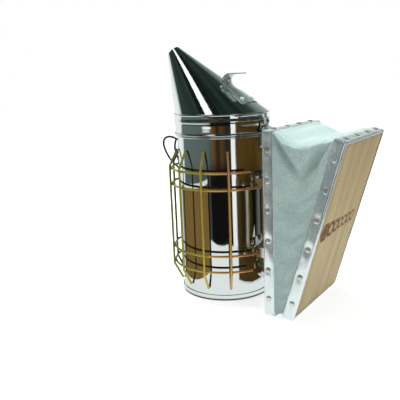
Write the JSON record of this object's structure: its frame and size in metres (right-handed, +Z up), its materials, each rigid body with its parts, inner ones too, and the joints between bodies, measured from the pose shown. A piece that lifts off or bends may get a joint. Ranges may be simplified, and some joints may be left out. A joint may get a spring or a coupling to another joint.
{
  "type": "bee smoker",
  "caption": "Cylindrical fire pot with a hinged leaning cone lid, wire heat guard and a wedge-shaped wood and leather bellows bracketed to its side.",
  "frame": {"origin": "centre of the flat underside of the fire pot", "axes": "+Z up along the pot's axis; +X from the pot towards the bellows; the spout leans to -X"},
  "size_m": [0.2451, 0.1222, 0.2727],
  "materials": {
    "mirror_steel": "mirror-polished stainless sheet",
    "formed_sheet": "bright formed steel sheet",
    "fastener_steel": "bright steel fasteners",
    "spring_steel": "drawn spring wire",
    "guard_wire": "yellow passivated wire, slightly iridescent",
    "tin_edging": "soft shiny sheet, dented at the tacks",
    "board_wood": "bare plywood, fine grain along the board",
    "bellows_hide": "pale grey-green suede-side hide",
    "grommet_brass": "dull plated eyelet"
  },
  "bodies": {
    "pot": {"air_inlet_tube": "formed_sheet", "back_board": "board_wood", "back_edge_strip": "tin_edging", "back_edge_tacks": "fastener_steel", "base_pan": "mirror_steel", "bellows_leather": "bellows_hide", "bellows_spring": "spring_steel", "bracket_rivets": "fastener_steel", "bracket_screws": "fastener_steel", "fire_pot": "mirror_steel", "grommet": "grommet_brass", "guard_bars": "guard_wire", "guard_hoop_bottom": "guard_wire", "guard_hoop_lower": "guard_wire", "guard_hoop_top": "guard_wire", "guard_hoop_upper": "guard_wire", "hanging_hook": "guard_wire", "hinge_pin": "fastener_steel", "lower_bracket": "formed_sheet", "pot_hinge_leaf": "formed_sheet", "pot_hinge_rivets": "fastener_steel", "upper_bracket": "formed_sheet"},
    "lid": {"lid_collar": "mirror_steel", "spout_cone": "mirror_steel", "finger_hook": "mirror_steel", "hook_rivets": "fastener_steel", "lid_hinge_leaf": "formed_sheet", "lid_hinge_rivets": "fastener_steel"},
    "bellows_front": {"front_board": "board_wood", "front_edge_strip": "tin_edging", "front_edge_tacks": "fastener_steel"},
    "grate": {"grate_plate": "mirror_steel", "grate_legs": "mirror_steel", "grate_rivets": "fastener_steel"}
  },
  "joints": [
    {"name": "lid_hinge", "type": "hinge", "parent": "pot", "child": "lid", "pos_m": [0.0595, 0, 0.181], "axis": [0, 1, 0], "range_deg": [0, 85]},
    {"name": "bellows_squeeze", "type": "hinge", "parent": "pot", "child": "bellows_front", "pos_m": [0.0993, 0, 0.0033], "axis": [0, -1, 0], "range_deg": [0, 12.5], "stiffness_Nm_per_rad": 3, "springref_deg": -8.59, "deforming": ["bellows_leather", "bellows_spring"]},
    {"name": "grate_lift", "type": "slide", "parent": "pot", "child": "grate", "axis": [0, 0, 1], "range_m": [0, 0.148]}
  ]
}
